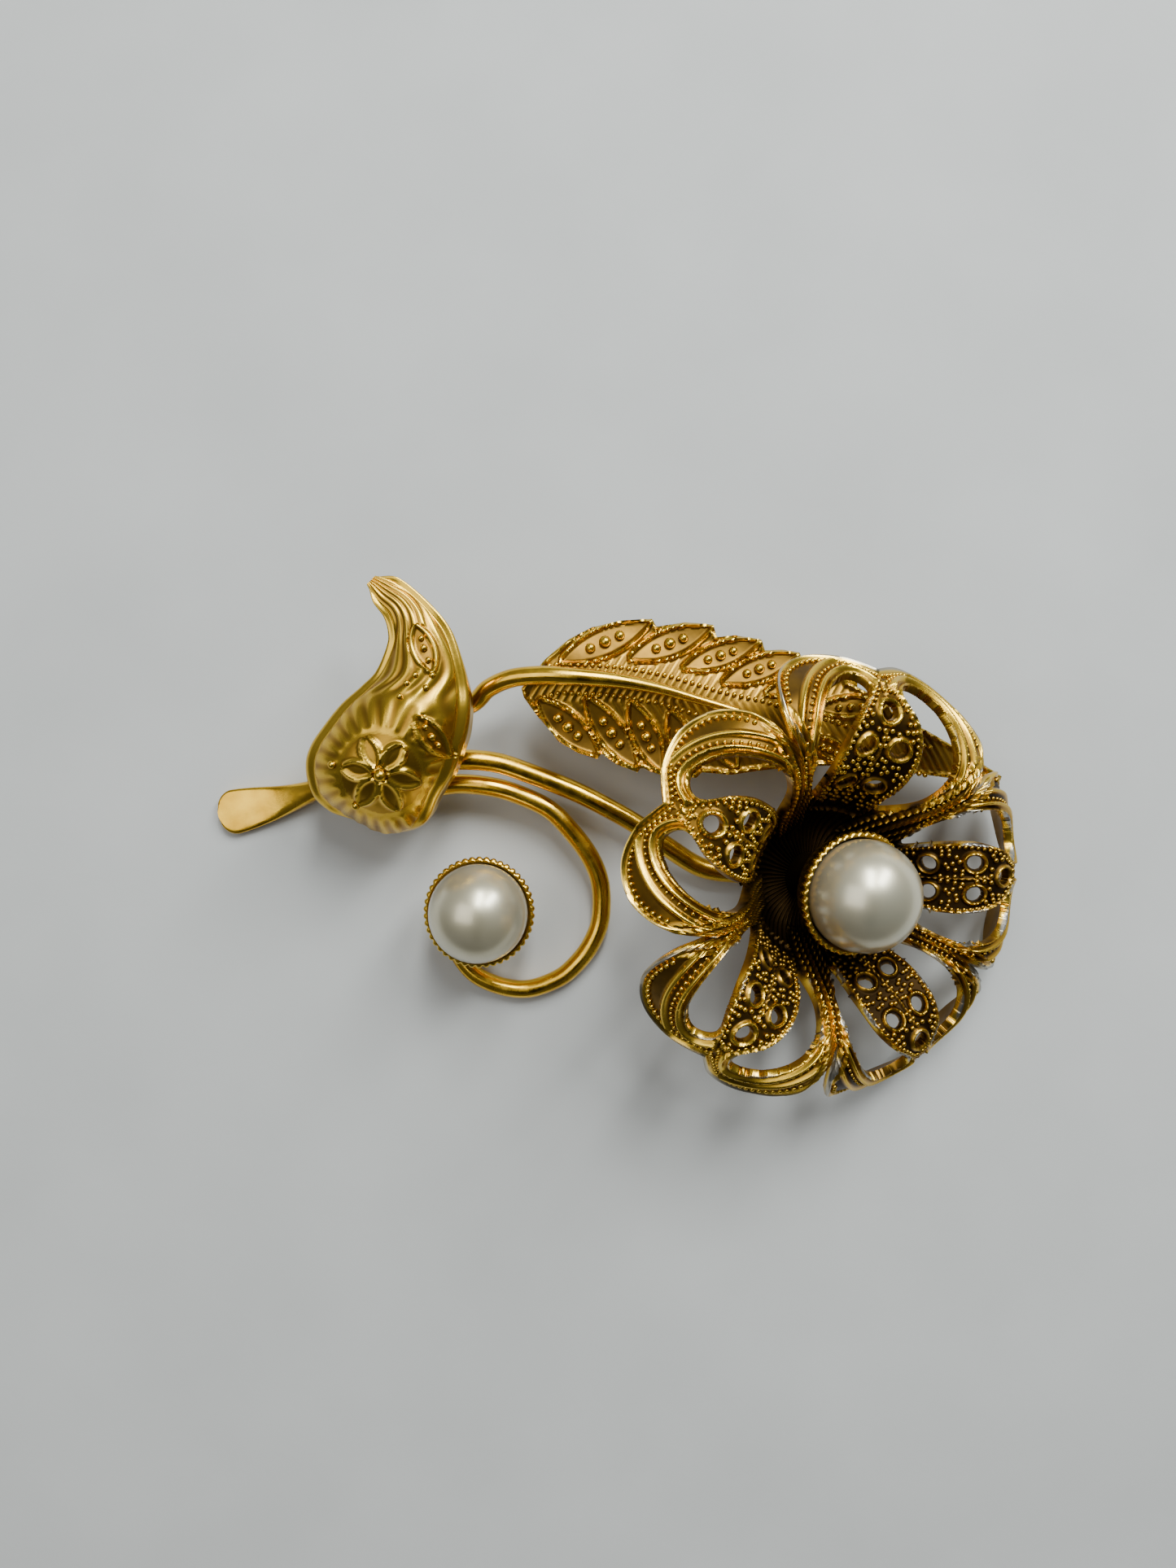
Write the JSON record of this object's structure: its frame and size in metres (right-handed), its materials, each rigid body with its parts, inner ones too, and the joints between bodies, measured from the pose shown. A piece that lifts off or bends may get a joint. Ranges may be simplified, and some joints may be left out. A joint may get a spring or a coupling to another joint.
{
  "type": "brooch",
  "caption": "Gold-tone floral spray brooch: pierced flower with a pearl, feather leaf, curled leaf cap, small pearl on a spiral wire, bar pin with safety catch.",
  "frame": {"origin": "middle of the box round the brooch, on the surface it rests on", "axes": "+X from the hammered tail to the flower, +Y towards the tip of the leaf cap, +Z out of the front"},
  "size_m": [0.0636, 0.039, 0.0159],
  "materials": {
    "gold_tone": "polished gold-tone plate, lightly worn",
    "antique_gold": "stamped gold-tone plate with dark patina in the recesses and worn edges",
    "pearl": "smooth simulated pearl",
    "pin_steel": "bright drawn wire"
  },
  "bodies": {
    "spray": {"main_stem": "gold_tone", "leaf_stem": "gold_tone", "spiral_stem": "gold_tone", "feather_leaf": "antique_gold", "leaf_cap": "antique_gold", "flower": "antique_gold", "flower_back_disc": "gold_tone", "large_pearl": "pearl", "large_pearl_cup": "gold_tone", "large_pearl_peg": "gold_tone", "small_pearl": "pearl", "small_pearl_cup": "gold_tone", "small_pearl_peg": "gold_tone", "pin_bar": "gold_tone", "hinge_bracket": "gold_tone", "hinge_rivet": "pin_steel", "catch_body": "gold_tone"},
    "pin": {"pin_stem": "pin_steel"},
    "catch": {"catch_rotor": "gold_tone"}
  },
  "joints": [
    {"name": "pin_hinge", "type": "hinge", "parent": "spray", "child": "pin", "pos_m": [-0.00278, 0.01057, 0.00235], "axis": [0, 1, 0], "range_deg": [0, 75]},
    {"name": "catch_turn", "type": "hinge", "parent": "spray", "child": "catch", "pos_m": [0.01752, 0.01057, 0.00235], "axis": [1, 0, 0], "range_deg": [0, 100]}
  ]
}
